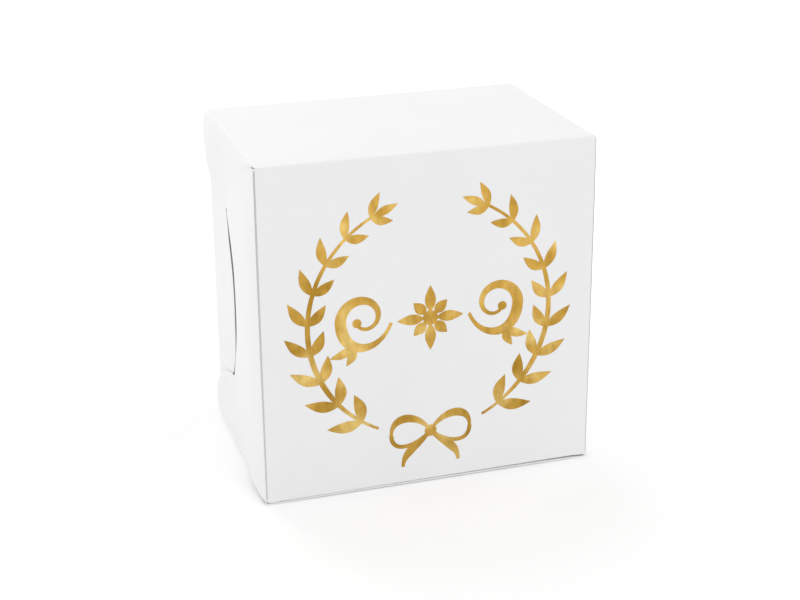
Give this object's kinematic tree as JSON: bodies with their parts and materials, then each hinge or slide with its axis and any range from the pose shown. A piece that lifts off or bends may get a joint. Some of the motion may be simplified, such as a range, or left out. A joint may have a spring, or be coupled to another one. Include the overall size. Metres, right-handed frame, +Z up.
{
  "type": "cake box",
  "caption": "Small folding carton for a portion of cake, with a hinged front, a tuck flap, rounded end flaps that close over each other and a gold foil ornament.",
  "frame": {"origin": "centre of the closed box's footprint, on the surface it stands on", "axes": "+Z up, the ornamented front wall faces -Y, the left end (as seen from in front) faces -X"},
  "size_m": [0.14, 0.093, 0.1425],
  "materials": {
    "white_board": "satin",
    "gold_foil": "satin"
  },
  "bodies": {
    "bottom": {"bottom_wall": "white_board"},
    "back": {"back_wall": "white_board"},
    "top": {"top_wall": "white_board"},
    "front": {"front_wall": "white_board", "left_foil_sprig": "gold_foil", "right_foil_sprig": "gold_foil", "left_foil_scroll": "gold_foil", "right_foil_scroll": "gold_foil", "foil_rosette": "gold_foil", "foil_bow": "gold_foil"},
    "tuck": {"tuck_flap": "white_board"},
    "left_back": {"left_back_flap": "white_board"},
    "left_top": {"left_top_flap": "white_board"},
    "left_bottom": {"left_bottom_flap": "white_board"},
    "left_front": {"left_front_flap": "white_board"},
    "right_back": {"right_back_flap": "white_board"},
    "right_top": {"right_top_flap": "white_board"},
    "right_bottom": {"right_bottom_flap": "white_board"},
    "right_front": {"right_front_flap": "white_board"}
  },
  "joints": [
    {"name": "back_fold", "type": "hinge", "parent": "bottom", "child": "back", "pos_m": [0, 0.0465, 0], "axis": [-1, 0, 0], "range_deg": [0, 90]},
    {"name": "top_fold", "type": "hinge", "parent": "back", "child": "top", "pos_m": [0, 0.0465, 0.1425], "axis": [-1, 0, 0], "range_deg": [0, 90]},
    {"name": "front_fold", "type": "hinge", "parent": "top", "child": "front", "pos_m": [0, -0.0464, 0.1425], "axis": [-1, 0, 0], "range_deg": [0, 90]},
    {"name": "tuck_fold", "type": "hinge", "parent": "front", "child": "tuck", "pos_m": [0, -0.0464, 0.0008], "axis": [1, 0, 0], "range_deg": [0, 30]},
    {"name": "left_front_fold", "type": "hinge", "parent": "front", "child": "left_front", "pos_m": [-0.07, -0.0464, 0.07125], "axis": [0, 0, 1], "range_deg": [0, 160]},
    {"name": "left_top_fold", "type": "hinge", "parent": "top", "child": "left_top", "pos_m": [-0.0692, 0, 0.1425], "axis": [0, 1, 0], "range_deg": [0, 104]},
    {"name": "left_bottom_fold", "type": "hinge", "parent": "bottom", "child": "left_bottom", "pos_m": [-0.0692, 0, 0], "axis": [0, -1, 0], "range_deg": [0, 104]},
    {"name": "left_back_fold", "type": "hinge", "parent": "back", "child": "left_back", "pos_m": [-0.0684, 0.0465, 0.07125], "axis": [0, 0, -1], "range_deg": [0, 80]},
    {"name": "right_front_fold", "type": "hinge", "parent": "front", "child": "right_front", "pos_m": [0.07, -0.0464, 0.07125], "axis": [0, 0, -1], "range_deg": [0, 160]},
    {"name": "right_top_fold", "type": "hinge", "parent": "top", "child": "right_top", "pos_m": [0.0692, 0, 0.1425], "axis": [0, -1, 0], "range_deg": [0, 104]},
    {"name": "right_bottom_fold", "type": "hinge", "parent": "bottom", "child": "right_bottom", "pos_m": [0.0692, 0, 0], "axis": [0, 1, 0], "range_deg": [0, 104]},
    {"name": "right_back_fold", "type": "hinge", "parent": "back", "child": "right_back", "pos_m": [0.0684, 0.0465, 0.07125], "axis": [0, 0, 1], "range_deg": [0, 80]}
  ],
  "couplings": [
    {"joint": "left_top_fold", "follows": "left_front_fold", "ratio": 0.65},
    {"joint": "left_bottom_fold", "follows": "left_front_fold", "ratio": 0.65},
    {"joint": "left_back_fold", "follows": "left_front_fold", "ratio": 0.5},
    {"joint": "right_top_fold", "follows": "right_front_fold", "ratio": 0.65},
    {"joint": "right_bottom_fold", "follows": "right_front_fold", "ratio": 0.65},
    {"joint": "right_back_fold", "follows": "right_front_fold", "ratio": 0.5}
  ]
}
